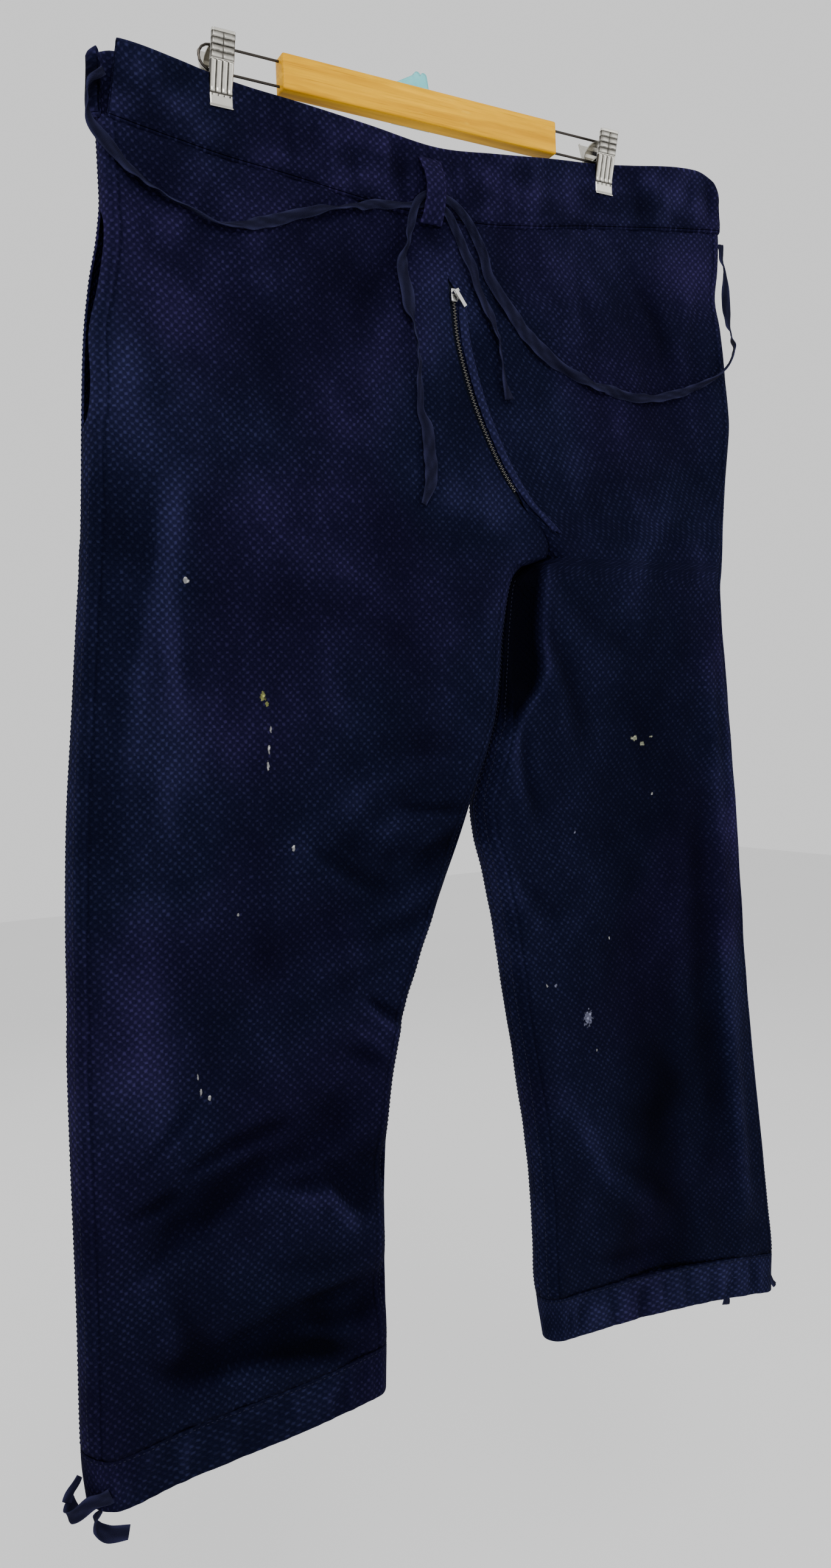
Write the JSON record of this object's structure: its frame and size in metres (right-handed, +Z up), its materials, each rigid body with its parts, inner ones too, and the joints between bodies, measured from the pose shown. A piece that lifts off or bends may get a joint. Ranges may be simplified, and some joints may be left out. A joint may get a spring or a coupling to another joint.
{
  "type": "drawstring trousers on a clip hanger and wall hook",
  "caption": "Wide indigo cotton trousers with a drawstring casing, zip fly and tied hems, hung by two spring clips from a wooden bar on a wall hook.",
  "frame": {"origin": "on the wall, at the back face of the wall hook, behind the middle of the hanger's bar", "axes": "+Z up, +Y into the wall, so the front of the trousers faces -Y; +X to the right as seen from the front"},
  "size_m": [0.6702, 0.0489, 1.0759],
  "materials": {
    "cloth": "matt rice-grain woven cotton, dark indigo",
    "tape": "matt woven cotton tape, slate navy",
    "zip_metal": "dull metal zip",
    "bar_wood": "clear satin varnish on honey-coloured wood",
    "wire": "dark bright-drawn steel wire",
    "clip_steel": "polished plated steel",
    "hook_plastic": "glossy pale cyan plastic"
  },
  "bodies": {
    "trousers": {"front_left": "cloth", "front_right": "cloth", "back_left": "cloth", "back_right": "cloth", "waistband_front_left": "cloth", "waistband_front_right": "cloth", "waistband_back": "cloth", "belt_loop": "cloth", "fly_welt": "cloth", "pocket_facing_left": "cloth", "pocket_facing_right": "cloth", "hem_left": "cloth", "hem_right": "cloth", "drawstring_left": "tape", "drawstring_right": "tape", "hem_tie_left_end": "tape", "hem_tie_left_loop": "tape", "hem_tie_left_curl": "tape", "hem_tie_right_end": "tape", "hem_tie_right_nub": "tape", "zip_tape": "tape", "zip_teeth": "zip_metal", "zip_slider": "zip_metal", "hanger_bar": "bar_wood", "hanger_wire_left": "wire", "hanger_wire_right": "wire", "hanger_eye": "wire", "clip_left_front": "clip_steel", "clip_left_back": "clip_steel", "clip_left_spring": "clip_steel", "clip_right_front": "clip_steel", "clip_right_back": "clip_steel", "clip_right_spring": "clip_steel", "wall_hook": "hook_plastic"},
    "zip_pull": {"zip_pull": "zip_metal"}
  },
  "joints": [
    {"name": "zip_pull_hinge", "type": "hinge", "parent": "trousers", "child": "zip_pull", "pos_m": [0.01329, -0.0388, -0.143], "axis": [-0.788, 0, -0.6157], "range_deg": [0, 110]}
  ]
}
